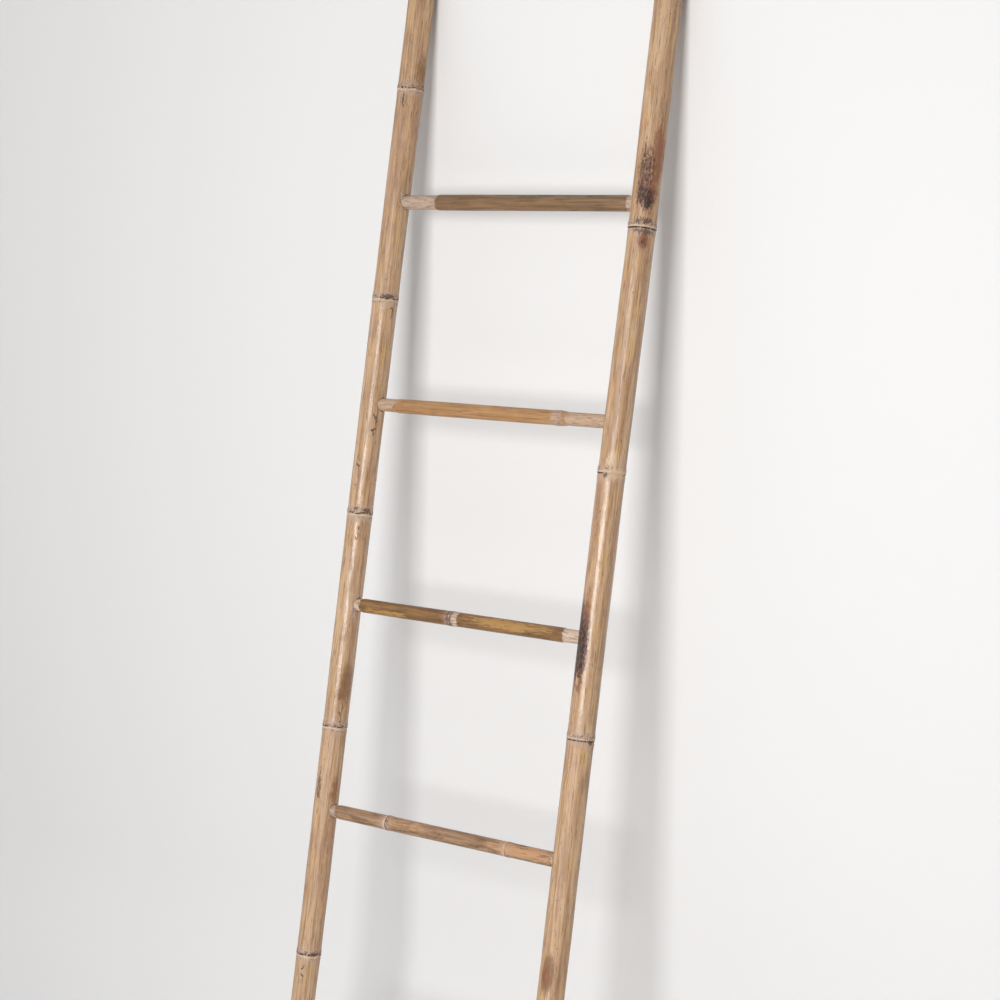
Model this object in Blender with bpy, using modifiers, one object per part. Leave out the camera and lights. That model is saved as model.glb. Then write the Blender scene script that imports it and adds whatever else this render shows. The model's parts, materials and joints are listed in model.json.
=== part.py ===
"""Bamboo ladder rack, leaning back as it stands against a wall.

Two hollow culm rails carry five thinner culm rungs. Each rung end is shaved to a tenon, sits in a
blind hole drilled through the rail's inner side, and is locked by a bamboo peg driven in from the
rail's back.

Metres, +Z up. +X runs along the rungs to the right, +Y points at the wall, and z = 0 is the floor.
The origin is on the floor, below the middle of the whole rack. Distances called heights are
counted along a rail, from the point where its axis meets the floor.
"""

import math
from dataclasses import dataclass

import bmesh
import bpy
from mathutils import Matrix

PARTS_COLLECTION = "bamboo_ladder_rack"
CUTTERS_COLLECTION = "cutters"

# Overall
RAIL_LENGTH = 2.000
RAIL_SPACING = 0.460  # between the axes of the two rails
LEAN = math.radians(12.0)
RUNG_COUNT = 5
FIRST_RUNG_HEIGHT = 0.340
RUNG_PITCH = 0.327

# Culms
RAIL_WALL = 0.0050
RUNG_WALL = 0.0045
SEPTUM_THICKNESS = 0.0030
RAIL_SEPTUM_HOLE = 0.0080  # left by the rod that breaks through the nodes before treatment
RUNG_SEPTUM_HOLE = 0.0050
RAIL_SIDES = 24
RUNG_SIDES = 16

# Node rings: two ridges with a groove between them
RAIL_RIM = 0.0012
RAIL_RIM_SPREAD = 0.0030  # from the groove to each ridge
RAIL_RIM_REACH = 0.0110  # from the groove to where the culm is plain again
RUNG_RIM = 0.0008
RUNG_RIM_SPREAD = 0.0020
RUNG_RIM_REACH = 0.0070
LEAST_END_ABOVE_NODE = 0.0250  # no node lies nearer than this to a rail's top

# Joints
SHAVE_DEPTH = 0.0010  # taken off a rung's radius at its ends
SHAVE_LENGTH = 0.0400  # along the rung, from the rail's inner side
SHAVE_RUNOUT = 0.0060
FIT_GAP = 0.0003  # between pieces that touch
TENON_END_GAP = 0.0010  # from a tenon's end to the far wall of the rail's bore
TENON_LEAST_REACH = 0.0050  # past the rail's axis, so that the peg passes through the tenon
PEG_DIAMETER = 0.0050
PEG_PROUD = 0.0006  # how far a peg's head stands out of the rail's back
PEG_TIP = 0.0012  # length and depth of the chamfer at a peg's tip
PEG_SIDES = 12
DRILL_OVERSHOOT = 0.0010  # how far a drilled hole runs past the piece that it goes through
FLOOR_TRIM = 0.0200  # rail stock below the floor, cut off so that each foot is flat on the floor

MERGE_DISTANCE = 0.00001
SHARP_ANGLE = math.radians(30)


@dataclass(frozen=True)
class Rail:
    """One upright culm: side is -1 for left and +1 for right, internodes run from the floor up."""

    name: str
    side: int
    foot_diameter: float
    top_diameter: float
    internodes: tuple
    colour: str

    def radius(self, height):
        """The outer radius between nodes, which tapers evenly from foot to top."""
        share = height / RAIL_LENGTH
        return (self.foot_diameter + (self.top_diameter - self.foot_diameter) * share) / 2

    def bore(self, height):
        """The radius of the hollow."""
        return self.radius(height) - RAIL_WALL

    def nodes(self):
        """Heights of the nodes. Above the last listed internode, that one's length repeats."""
        heights = []
        height = self.internodes[0]
        while height < RAIL_LENGTH - LEAST_END_ABOVE_NODE:
            heights.append(height)
            height += self.internodes[min(len(heights), len(self.internodes) - 1)]
        return heights

    def x(self):
        """Where the rail's axis crosses the rungs' direction."""
        return self.side * RAIL_SPACING / 2


@dataclass(frozen=True)
class Rung:
    """One cross culm, counted from the floor up. Nodes are x values along it."""

    name: str
    number: int
    diameter: float
    nodes: tuple
    above_even: float
    colour: str

    def height(self):
        """Its axis along the rails."""
        return FIRST_RUNG_HEIGHT + RUNG_PITCH * (self.number - 1) + self.above_even

    def room(self, rail):
        """How far from the rail's axis its tenon may lie in the rail's hollow."""
        return rail.bore(self.height()) * math.cos(math.pi / RAIL_SIDES) - TENON_END_GAP

    def tenon_radius(self):
        """Its radius where the skin is shaved off, deeper if a narrow hollow needs it."""
        narrowest = min(self.room(rail) for rail in RAILS)
        widest = math.sqrt(narrowest**2 - TENON_LEAST_REACH**2)
        return min(self.diameter / 2 - SHAVE_DEPTH, widest)

    def tenon_end(self, rail):
        """How far from the rack's middle its tenon reaches: past the rail's axis, near the far wall."""
        return RAIL_SPACING / 2 + math.sqrt(self.room(rail) ** 2 - self.tenon_radius() ** 2)


LEFT_INTERNODES = (0.080, 0.355, 0.365, 0.343, 0.347, 0.341)
RIGHT_INTERNODES = (0.055, 0.390, 0.405, 0.395, 0.366, 0.359)
LEFT_RAIL = Rail("left_rail", -1, 0.0375, 0.0425, LEFT_INTERNODES, "B48E66")
RIGHT_RAIL = Rail("right_rail", 1, 0.0405, 0.0420, RIGHT_INTERNODES, "B58D62")
RAILS = (LEFT_RAIL, RIGHT_RAIL)

# (name, diameter, nodes, how far it sits above its even place, colour), from the floor up.
# More rungs than this repeat the list.
RUNG_KINDS = (
    ("rung_1_bottom", 0.0230, (0.060,), 0.000, "A07A55"),
    ("rung_2", 0.0225, (-0.100, 0.126), 0.000, "A27C58"),
    ("rung_3", 0.0225, (-0.024,), 0.004, "94693F"),
    ("rung_4", 0.0230, (0.126,), 0.000, "B3865A"),
    ("rung_5_top", 0.0250, (), 0.001, "80684C"),
)
PEG_COLOUR = "C2A074"
VARNISHED_ROUGHNESS = 0.42
THIN_CULM_ROUGHNESS = 0.50
SPLIT_ROUGHNESS = 0.60


def rungs():
    """The rungs, from the floor up."""
    made = []
    for number in range(1, RUNG_COUNT + 1):
        name, diameter, nodes, above_even, colour = RUNG_KINDS[(number - 1) % len(RUNG_KINDS)]
        if number > len(RUNG_KINDS):
            name = f"rung_{number}"
        made.append(Rung(name, number, diameter, nodes, above_even, colour))
    return made


def clear_scene():
    """Removes whatever the scene holds."""
    for obj in list(bpy.data.objects):
        bpy.data.objects.remove(obj, do_unlink=True)


def new_collection(name):
    """A collection linked to the scene."""
    collection = bpy.data.collections.new(name)
    bpy.context.scene.collection.children.link(collection)
    return collection


def linear(hex_colour):
    """An sRGB hex colour as the linear RGBA that a shader takes."""
    channels = [int(hex_colour[i : i + 2], 16) / 255 for i in (0, 2, 4)]
    return [c / 12.92 if c <= 0.04045 else ((c + 0.055) / 1.055) ** 2.4 for c in channels] + [1.0]


def bamboo_material(name, hex_colour, roughness):
    """Dry bamboo of one colour."""
    material = bpy.data.materials.new(name)
    material.use_nodes = True
    shader = material.node_tree.nodes["Principled BSDF"]
    shader.inputs["Base Color"].default_value = linear(hex_colour)
    shader.inputs["Roughness"].default_value = roughness
    shader.inputs["Metallic"].default_value = 0.0
    return material


def lean_frame():
    """An empty at the foot of the rack, leant back, that every piece and drilled hole hangs on."""
    widest_foot = max(rail.radius(0) for rail in RAILS)
    widest_top = max(rail.radius(RAIL_LENGTH) for rail in RAILS)
    front = -widest_foot / math.cos(LEAN)
    back = RAIL_LENGTH * math.sin(LEAN) + widest_top * math.cos(LEAN)
    frame = bpy.data.objects.new("lean_frame", None)
    frame.location = (0, -(front + back) / 2, 0)
    frame.rotation_euler = (-LEAN, 0, 0)
    return frame


def turned(name, outline, closed, sides, collection):
    """A solid of revolution about Z. The outline runs down the outer side, then back up inside."""
    mesh = bpy.data.meshes.new(name)
    count = len(outline)
    edges = [(i, (i + 1) % count) for i in range(count if closed else count - 1)]
    mesh.from_pydata([(radius, 0, z) for radius, z in outline], edges, [])
    obj = bpy.data.objects.new(name, mesh)
    screw = obj.modifiers.new("Turn", "SCREW")
    screw.steps = sides
    screw.render_steps = sides
    screw.use_merge_vertices = True
    screw.merge_threshold = MERGE_DISTANCE
    collection.objects.link(obj)
    return obj


def node_ring(radius, z, rim, spread, reach):
    """Outline points over one node, from above it to below it."""
    return [
        (radius, z + reach),
        (radius + rim, z + spread),
        (radius + rim / 4, z),
        (radius + rim, z - spread),
        (radius, z - reach),
    ]


def septum(bore, z, hole):
    """Outline points round one broken-through septum, from below it to above it."""
    low, high = z - SEPTUM_THICKNESS / 2, z + SEPTUM_THICKNESS / 2
    return [(bore, low), (hole / 2, low), (hole / 2, high), (bore, high)]


def rail_outline(rail):
    """A rail's outline, from its square-cut top to the stock that is trimmed at the floor."""
    outer = [(rail.radius(RAIL_LENGTH), RAIL_LENGTH)]
    for height in reversed(rail.nodes()):
        outer += node_ring(rail.radius(height), height, RAIL_RIM, RAIL_RIM_SPREAD, RAIL_RIM_REACH)
    outer.append((rail.radius(-FLOOR_TRIM), -FLOOR_TRIM))
    inner = [(rail.bore(-FLOOR_TRIM), -FLOOR_TRIM)]
    for height in rail.nodes():
        inner += septum(rail.bore(height), height, RAIL_SEPTUM_HOLE)
    inner.append((rail.bore(RAIL_LENGTH), RAIL_LENGTH))
    return outer + inner


def rung_outline(rung):
    """A rung's outline along its own axis, from its right tenon to its left one."""
    radius = rung.diameter / 2
    shoulders = {}
    for rail in RAILS:
        inner_side = RAIL_SPACING / 2 - rail.radius(rung.height())
        shoulders[rail.side] = rail.side * (inner_side - SHAVE_LENGTH)
    right_end = rung.tenon_end(RIGHT_RAIL)
    left_end = -rung.tenon_end(LEFT_RAIL)
    outer = [(rung.tenon_radius(), right_end), (rung.tenon_radius(), shoulders[1])]
    outer.append((radius, shoulders[1] - SHAVE_RUNOUT))
    for x in sorted(rung.nodes, reverse=True):
        outer += node_ring(radius, x, RUNG_RIM, RUNG_RIM_SPREAD, RUNG_RIM_REACH)
    outer.append((radius, shoulders[-1] + SHAVE_RUNOUT))
    outer += [(rung.tenon_radius(), shoulders[-1]), (rung.tenon_radius(), left_end)]
    bore = radius - RUNG_WALL
    inner = [(bore, left_end)]
    for x in sorted(rung.nodes):
        inner += septum(bore, x, RUNG_SEPTUM_HOLE)
    inner.append((bore, right_end))
    return outer + inner


def peg_outline(rail, rung):
    """A peg's outline, from its head behind the rail to its tip inside the tenon."""
    radius = PEG_DIAMETER / 2
    head = rail.radius(rung.height()) + PEG_PROUD
    tip = -rung.tenon_radius()
    return [(0, head), (radius, head), (radius, tip + PEG_TIP), (radius - PEG_TIP, tip), (0, tip)]


def drill(name, radius, start, end, sides, collection):
    """A closed cylinder along Z from start to end, used as a cutter."""
    mesh = bpy.data.meshes.new(name)
    solid = bmesh.new()
    shift = Matrix.Translation((0, 0, (start + end) / 2))
    bmesh.ops.create_cone(
        solid,
        cap_ends=True,
        segments=sides,
        radius1=radius,
        radius2=radius,
        depth=end - start,
        matrix=shift,
    )
    solid.to_mesh(mesh)
    solid.free()
    return add_cutter(name, mesh, collection)


def add_cutter(name, mesh, collection):
    """An object that only cuts others."""
    obj = bpy.data.objects.new(name, mesh)
    obj.hide_render = True
    obj.display_type = "WIRE"
    collection.objects.link(obj)
    return obj


def floor_cutter(collection):
    """A slab whose top is the floor, long enough for both feet."""
    mesh = bpy.data.meshes.new("floor_cutter")
    solid = bmesh.new()
    width = RAIL_SPACING + 4 * max(rail.foot_diameter for rail in RAILS)
    size = Matrix.Diagonal((width, RAIL_LENGTH, 4 * FLOOR_TRIM, 1))
    bmesh.ops.create_cube(solid, size=1, matrix=Matrix.Translation((0, 0, -2 * FLOOR_TRIM)) @ size)
    solid.to_mesh(mesh)
    solid.free()
    return add_cutter("floor_cutter", mesh, collection)


def place(obj, frame, x, height, rotation=(0, 0, 0)):
    """Hangs an object on the leant frame, with its origin on a rail or at the rack's middle."""
    obj.parent = frame
    obj.location = (x, 0, height)
    obj.rotation_euler = rotation
    return obj


def cut(obj, cutter):
    """Takes a cutter out of a piece."""
    boolean = obj.modifiers.new(cutter.name, "BOOLEAN")
    boolean.operation = "DIFFERENCE"
    boolean.solver = "EXACT"
    boolean.object = cutter


def build_rail(rail, frame, cutter, collection):
    """A culm along Z, trimmed flat at the floor."""
    obj = turned(rail.name, rail_outline(rail), True, RAIL_SIDES, collection)
    finish = bamboo_material(f"{rail.name}_varnished_culm", rail.colour, VARNISHED_ROUGHNESS)
    obj.data.materials.append(finish)
    cut(obj, cutter)
    return place(obj, frame, rail.x(), 0)


def build_rung(rung, frame, collection):
    """A culm turned to lie along X."""
    obj = turned(rung.name, rung_outline(rung), True, RUNG_SIDES, collection)
    finish = bamboo_material(f"{rung.name}_thin_culm", rung.colour, THIN_CULM_ROUGHNESS)
    obj.data.materials.append(finish)
    return place(obj, frame, 0, rung.height(), (0, math.pi / 2, 0))


def build_peg(rail, rung, frame, collection):
    """A peg whose own Z points at the wall, through the middle of the rail."""
    side = "left" if rail.side < 0 else "right"
    name = f"rung_{rung.number}_{side}_peg"
    obj = turned(name, peg_outline(rail, rung), False, PEG_SIDES, collection)
    finish = bamboo_material(f"{name}_split_bamboo", PEG_COLOUR, SPLIT_ROUGHNESS)
    obj.data.materials.append(finish)
    return place(obj, frame, rail.x(), rung.height(), (-math.pi / 2, 0, 0))


def drill_joint(rail, rung, rail_piece, rung_piece, frame, collection):
    """The tenon's blind hole in the rail, and the peg's hole through rail back and tenon."""
    label = f"rung_{rung.number}_{rail.name}"
    start = RAIL_SPACING / 2 - rail.foot_diameter - rail.top_diameter
    end = rung.tenon_end(rail) + FIT_GAP
    start, end = sorted((rail.side * start, rail.side * end))
    tenon_hole = drill(
        f"{label}_tenon_hole",
        rung.tenon_radius() + FIT_GAP,
        start,
        end,
        RUNG_SIDES,
        collection,
    )
    place(tenon_hole, frame, 0, rung.height(), (0, math.pi / 2, 0))
    peg_hole = drill(
        f"{label}_peg_hole",
        PEG_DIAMETER / 2 + FIT_GAP,
        -rung.tenon_radius() - DRILL_OVERSHOOT,
        rail.radius(rung.height()) + DRILL_OVERSHOOT,
        PEG_SIDES,
        collection,
    )
    place(peg_hole, frame, rail.x(), rung.height(), (-math.pi / 2, 0, 0))
    cut(rail_piece, tenon_hole)
    cut(rail_piece, peg_hole)
    cut(rung_piece, peg_hole)


def finish_piece(obj):
    """Turns a piece's modifiers into its mesh, smooth round the culm and sharp at cut edges."""
    graph = bpy.context.evaluated_depsgraph_get()
    mesh = bpy.data.meshes.new_from_object(obj.evaluated_get(graph))
    obj.modifiers.clear()
    obj.data = mesh
    mesh.shade_smooth()
    mesh.set_sharp_from_angle(angle=SHARP_ANGLE)


def main():
    """Builds the whole rack."""
    clear_scene()
    parts = new_collection(PARTS_COLLECTION)
    cutters = new_collection(CUTTERS_COLLECTION)
    frame = lean_frame()
    parts.objects.link(frame)
    floor = floor_cutter(cutters)
    rail_pieces = {rail: build_rail(rail, frame, floor, parts) for rail in RAILS}
    pieces = list(rail_pieces.values())
    for rung in rungs():
        rung_piece = build_rung(rung, frame, parts)
        pieces.append(rung_piece)
        for rail, rail_piece in rail_pieces.items():
            drill_joint(rail, rung, rail_piece, rung_piece, frame, cutters)
            pieces.append(build_peg(rail, rung, frame, parts))
    for piece in pieces:
        finish_piece(piece)


main()
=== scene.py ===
"""Bamboo ladder rack: the visual model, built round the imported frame.

Metres, +Z up. +X runs along the rungs to the right and +Y points at the wall. Every culm is grown
upright along its own Z, marked, and then stood or laid in its place in the rack. Along a culm,
places are distances from the rack's foot (rails) or from the rack's middle (rungs). Round a culm,
angles are degrees from its front: to the right on a rail, downwards on a rung.
"""

import json
import logging
import math
from collections.abc import Callable
from dataclasses import dataclass, field
from enum import Enum
from functools import partial

import bmesh
import bpy
import numpy as np
from mathutils import Matrix, Vector

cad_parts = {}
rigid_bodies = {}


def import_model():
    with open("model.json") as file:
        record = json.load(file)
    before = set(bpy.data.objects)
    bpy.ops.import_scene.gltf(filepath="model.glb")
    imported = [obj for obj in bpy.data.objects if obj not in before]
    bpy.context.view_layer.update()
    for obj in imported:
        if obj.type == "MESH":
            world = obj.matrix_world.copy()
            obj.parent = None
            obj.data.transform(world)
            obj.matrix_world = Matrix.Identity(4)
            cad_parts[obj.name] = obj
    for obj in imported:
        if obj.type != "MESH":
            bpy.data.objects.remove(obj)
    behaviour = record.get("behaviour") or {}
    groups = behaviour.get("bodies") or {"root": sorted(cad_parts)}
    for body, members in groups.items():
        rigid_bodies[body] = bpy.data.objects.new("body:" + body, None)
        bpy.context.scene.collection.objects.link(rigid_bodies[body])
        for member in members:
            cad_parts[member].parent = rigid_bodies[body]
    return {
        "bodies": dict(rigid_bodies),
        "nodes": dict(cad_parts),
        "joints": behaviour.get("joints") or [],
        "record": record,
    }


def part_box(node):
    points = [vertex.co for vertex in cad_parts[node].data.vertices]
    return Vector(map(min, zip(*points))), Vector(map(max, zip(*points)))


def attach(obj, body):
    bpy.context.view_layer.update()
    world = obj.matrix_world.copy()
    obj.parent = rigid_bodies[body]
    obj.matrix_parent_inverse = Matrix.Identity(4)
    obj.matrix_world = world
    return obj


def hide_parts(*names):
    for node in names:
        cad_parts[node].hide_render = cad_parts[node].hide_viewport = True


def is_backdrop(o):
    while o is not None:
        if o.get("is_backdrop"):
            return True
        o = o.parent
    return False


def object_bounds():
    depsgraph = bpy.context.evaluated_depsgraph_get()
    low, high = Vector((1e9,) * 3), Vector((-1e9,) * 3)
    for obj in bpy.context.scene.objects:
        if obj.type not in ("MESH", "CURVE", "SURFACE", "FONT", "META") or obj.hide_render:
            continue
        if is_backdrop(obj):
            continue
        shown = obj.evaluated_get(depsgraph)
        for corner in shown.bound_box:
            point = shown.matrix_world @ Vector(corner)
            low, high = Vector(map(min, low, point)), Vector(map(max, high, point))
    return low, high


LOG = logging.getLogger("ladder_rack")

Colour = tuple[float, float, float, float]
Socket = bpy.types.NodeSocket
AddNode = Callable[..., Socket]  # add_node with its node tree given

MM = 0.001
LEAN = math.radians(12.0)
BODY = "root"
SMOOTH_ANGLE = math.radians(38)
SKIN_DEPTH = 1.9 * MM  # how far below a culm's plain radius a face still counts as its skin
SKIN_FACING = 0.35  # least cosine between a skin face's normal and the way out from the axis
TILT_SLACK = 2 * MM  # how far a tilted row may be off its height
WAVES = ((0.11, 1.0), (0.022, 0.22))  # size of a wave on a culm, and its share of the unevenness
MARK_EDGE = 1.25  # where a mark has faded out, times its reach
SMOOTH = {"interpolation_type": "SMOOTHSTEP"}  # a range that eases in and out
OVER = {"data_type": "RGBA", "clamp_factor": True}  # one colour laid over another by a share


class Side(Enum):
    """Which rail."""

    LEFT = "left"
    RIGHT = "right"


class MarkKind(Enum):
    """What a mark on the skin is. The value is the mesh attribute it is painted into."""

    SCORCH = "scorch"
    SINGE = "singe"
    STAIN = "stain"
    ACCENT = "accent"
    SHAVED = "shaved"
    GRIME = "grime"
    CRACKED = "cracked"


# ---------------------------------------------------------------------------------------------
# Small tools
# ---------------------------------------------------------------------------------------------


def take(obj: bpy.types.Object) -> None:
    """Makes one object the only selected one, and active.

    Args:
        obj: the object.
    """
    bpy.ops.object.select_all(action="DESELECT")
    obj.select_set(True)
    bpy.context.view_layer.objects.active = obj


def edit(obj: bpy.types.Object) -> None:
    """Takes an object into edit mode with nothing selected in it.

    Args:
        obj: the object.
    """
    take(obj)
    bpy.ops.object.mode_set(mode="EDIT")
    bpy.ops.mesh.select_all(action="DESELECT")


def leave_edit() -> None:
    """Goes back to object mode."""
    bpy.ops.object.mode_set(mode="OBJECT")


def bake_place(obj: bpy.types.Object) -> None:
    """Puts an object's place, turn and scale into its mesh."""
    take(obj)
    bpy.ops.object.transform_apply(location=True, rotation=True, scale=True)


def apply_modifier(obj: bpy.types.Object, kind: str, **settings: object) -> None:
    """Adds a modifier and applies it.

    Args:
        obj: the piece.
        kind: the modifier's type.
        settings: its properties by name.
    """
    modifier = obj.modifiers.new(kind.title(), kind)
    for name, value in settings.items():
        setattr(modifier, name, value)
    take(obj)
    bpy.ops.object.modifier_apply(modifier=modifier.name)


def join(objects: list[bpy.types.Object]) -> bpy.types.Object:
    """Joins objects into the first.

    Args:
        objects: at least one.

    Returns:
        The joined object.
    """
    take(objects[0])
    for obj in objects[1:]:
        obj.select_set(True)
    bpy.ops.object.join()
    return objects[0]


def linear(hex_colour: str) -> Colour:
    """An sRGB hex colour as the linear RGBA that a shader takes.

    Args:
        hex_colour: six hex digits.

    Returns:
        Linear red, green, blue and an alpha of 1.
    """
    channels = [int(hex_colour[i : i + 2], 16) / 255 for i in (0, 2, 4)]
    red, green, blue = [c / 12.92 if c <= 0.04045 else ((c + 0.055) / 1.055) ** 2.4 for c in channels]
    return (red, green, blue, 1.0)


def add_node(
    tree: bpy.types.NodeTree,
    kind: str,
    *values: object,
    gives: str | None = None,
    named: dict[str, object] | None = None,
    stops: tuple[tuple[float, Colour], ...] = (),
    **settings: object,
) -> bpy.types.NodeSocket:
    """Adds a shader node with its settings and links.

    Args:
        tree: the node tree.
        kind: the node's type, without its "ShaderNode".
        values: for its sockets in use, in their order, each a value or another node's output.
        gives: the output to hand on, if it isn't the first one in use.
        named: values for sockets by name.
        stops: places and colours along a colour ramp.
        settings: its properties by name.

    Returns:
        One output of the node.
    """
    node = tree.nodes.new(f"ShaderNode{kind}")
    for name, value in settings.items():
        setattr(node, name, value)
    in_use = [socket for socket in node.inputs if socket.enabled]
    by_name = [(node.inputs[name], value) for name, value in (named or {}).items()]
    for socket, value in [*zip(in_use, values), *by_name]:
        if isinstance(value, bpy.types.NodeSocket):
            tree.links.new(value, socket)
        else:
            socket.default_value = value
    for number, (position, colour) in enumerate(stops):
        element = node.color_ramp.elements[number]
        element.position = position
        element.color = colour
    return node.outputs[gives] if gives else next(output for output in node.outputs if output.enabled)


def new_material(name: str) -> tuple[bpy.types.Material, AddNode, bpy.types.Node]:
    """An empty material with a Principled shader on its output.

    Args:
        name: what the material is and how its surface was made.

    Returns:
        The material, what adds a node to it, and its shader.
    """
    material = bpy.data.materials.new(name)
    material.use_nodes = True
    return material, partial(add_node, material.node_tree), material.node_tree.nodes["Principled BSDF"]


def drawn_out(
    node: AddNode, spot: Socket, width: float, length: float, detail: float = 3.0, distortion: float = 0.0
) -> Socket:
    """Noise drawn out along a culm.

    Args:
        node: adds a node to the material.
        spot: the culm's own coordinates.
        width: one patch's size across the culm, in metres.
        length: one patch's size along it, in metres.
        detail: octaves.
        distortion: how far patches are pulled about.

    Returns:
        Noise from 0 to 1, mostly near 0.5.
    """
    squeezed = node("VectorMath", spot, (1, 1, width / length), operation="MULTIPLY")
    named = {"Vector": squeezed, "Scale": 1 / width, "Detail": detail, "Distortion": distortion}
    return node("TexNoise", named=named)


def culm_space(node: AddNode, place: Matrix, shift: float = 0.0) -> Socket:
    """A piece's own coordinates as it was made, upright: Z along it, X and Y across, in metres.

    Args:
        node: adds a node to the material.
        place: from the upright piece to the rack.
        shift: how far the pattern is moved along the piece.

    Returns:
        The coordinates.
    """
    back = place.inverted()
    where = back.to_translation() + Vector((0, 0, shift))
    world = node("TexCoord", gives="Object")
    return node("Mapping", world, where, back.to_euler("XYZ"), vector_type="POINT")


# ---------------------------------------------------------------------------------------------
# Where things are
# ---------------------------------------------------------------------------------------------


@dataclass(frozen=True)
class RackPlaces:
    """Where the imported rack's pieces lie.

    Attributes:
        foot_y: where the rails' axes meet the floor.
        rail_x: each rail's axis along X.
        rung_heights: each rung's axis along the rails, from the bottom one up.
    """

    foot_y: float
    rail_x: dict[Side, float]
    rung_heights: tuple[float, ...]

    @classmethod
    def from_frame(cls, frame: dict) -> "RackPlaces":
        """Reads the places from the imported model.


        Returns:
            The places.
        """
        feet = [mount for mount in frame["record"]["mounts"] if mount["name"] == "left_foot"]
        rail_x = {}
        for side in Side:
            low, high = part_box(f"{side.value}_rail")
            rail_x[side] = (low.x + high.x) / 2
        heights = []
        for name in sorted(name for name in frame["nodes"] if name.startswith("rung") and "peg" not in name):
            low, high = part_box(name)
            heights.append((low.z + high.z) / 2 / math.cos(LEAN))
        return cls(feet[0]["pos_m"][1], rail_x, tuple(heights))

    def leant(self) -> Matrix:
        """From the rack stood upright at the origin to the rack as it leans."""
        return Matrix.Translation((0, self.foot_y, 0)) @ Matrix.Rotation(-LEAN, 4, "X")

    def rail(self, side: Side) -> Matrix:
        """From a culm grown upright at the origin to one rail."""
        return self.leant() @ Matrix.Translation((self.rail_x[side], 0, 0))

    def rung(self, number: int) -> Matrix:
        """From a culm grown upright at the origin to one rung, counted from 1."""
        lift = Matrix.Translation((0, 0, self.rung_heights[number - 1]))
        return self.leant() @ lift @ Matrix.Rotation(math.pi / 2, 4, "Y")

    def peg(self, side: Side, number: int) -> Matrix:
        """From a peg made upright at the origin to its place, its head towards the wall."""
        lift = Matrix.Translation((self.rail_x[side], 0, self.rung_heights[number - 1]))
        return self.leant() @ lift @ Matrix.Rotation(-math.pi / 2, 4, "X")


# ---------------------------------------------------------------------------------------------
# Finishes
# ---------------------------------------------------------------------------------------------


@dataclass(frozen=True)
class NodeRing:
    """One ring of colour round a node.

    Attributes:
        place: above the node, in metres.
        reach: half its width, in metres.
        shade: its colour.
        most: how strong it is at most, 0 to 1.
        gaps: how broken it is, 0 to 1.
    """

    place: float
    reach: float
    shade: str
    most: float
    gaps: float


PALE_RIM = "D0B99F"
WORN_BAND = "BC9F83"
DARK_DIRT = "33241D"
CRISP_NODE = (
    NodeRing(1.0 * MM, 1.6 * MM, PALE_RIM, 0.8, 0.0),
    NodeRing(-1.3 * MM, 1.7 * MM, DARK_DIRT, 1.0, 0.3),
)
ROUGH_NODE = (
    NodeRing(-3.0 * MM, 6.0 * MM, WORN_BAND, 0.6, 0.35),
    NodeRing(-2.0 * MM, 2.0 * MM, PALE_RIM, 0.6, 0.45),
    NodeRing(1.2 * MM, 2.4 * MM, DARK_DIRT, 0.95, 0.7),
    NodeRing(-5.5 * MM, 1.8 * MM, DARK_DIRT, 0.6, 0.9),
)
THIN_NODE = (
    NodeRing(-2.6 * MM, 2.6 * MM, PALE_RIM, 0.55, 0.0),
    NodeRing(0.6 * MM, 1.3 * MM, DARK_DIRT, 0.8, 0.4),
)


@dataclass(frozen=True)
class MarkLook:
    """How one kind of mark shows: its colour laid on where it is painted, with a ragged edge.

    Attributes:
        kind: the kind of mark.
        shade: its colour.
        noise: what breaks up its edge.
        raggedness: how strongly.
        middle: how strongly it must be painted to show half.
        softness: how slowly it comes in.
        most: how strong it is at most, 0 to 1.
        boost: times how strongly it is painted.
        onset: below the first of these it never shows, and above the second it may show in full.
    """

    kind: MarkKind
    shade: object
    noise: Socket
    raggedness: float
    middle: float
    softness: float
    most: float
    boost: float = 1.0
    onset: tuple[float, float] = (0.0, 0.15)

    def mask(self, node: AddNode) -> Socket:
        """Where the mark shows, 0 to 1.

        Args:
            node: adds a node to the material.

        Returns:
            The mask.
        """
        painted = node("Attribute", gives="Fac", attribute_name=self.kind.value)
        rise = node("Math", self.noise, 0.5, operation="SUBTRACT")
        rise = node("Math", rise, self.raggedness, operation="MULTIPLY")
        edge = node("Math", painted, self.boost, operation="MULTIPLY")
        edge = node("Math", edge, rise, operation="ADD")
        none, full = self.middle - self.softness / 2, self.middle + self.softness / 2
        mask = node("MapRange", edge, none, full, 0.0, self.most, **SMOOTH)
        begun = node("MapRange", painted, *self.onset, **SMOOTH)
        return node("Math", mask, begun, operation="MULTIPLY")


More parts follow.
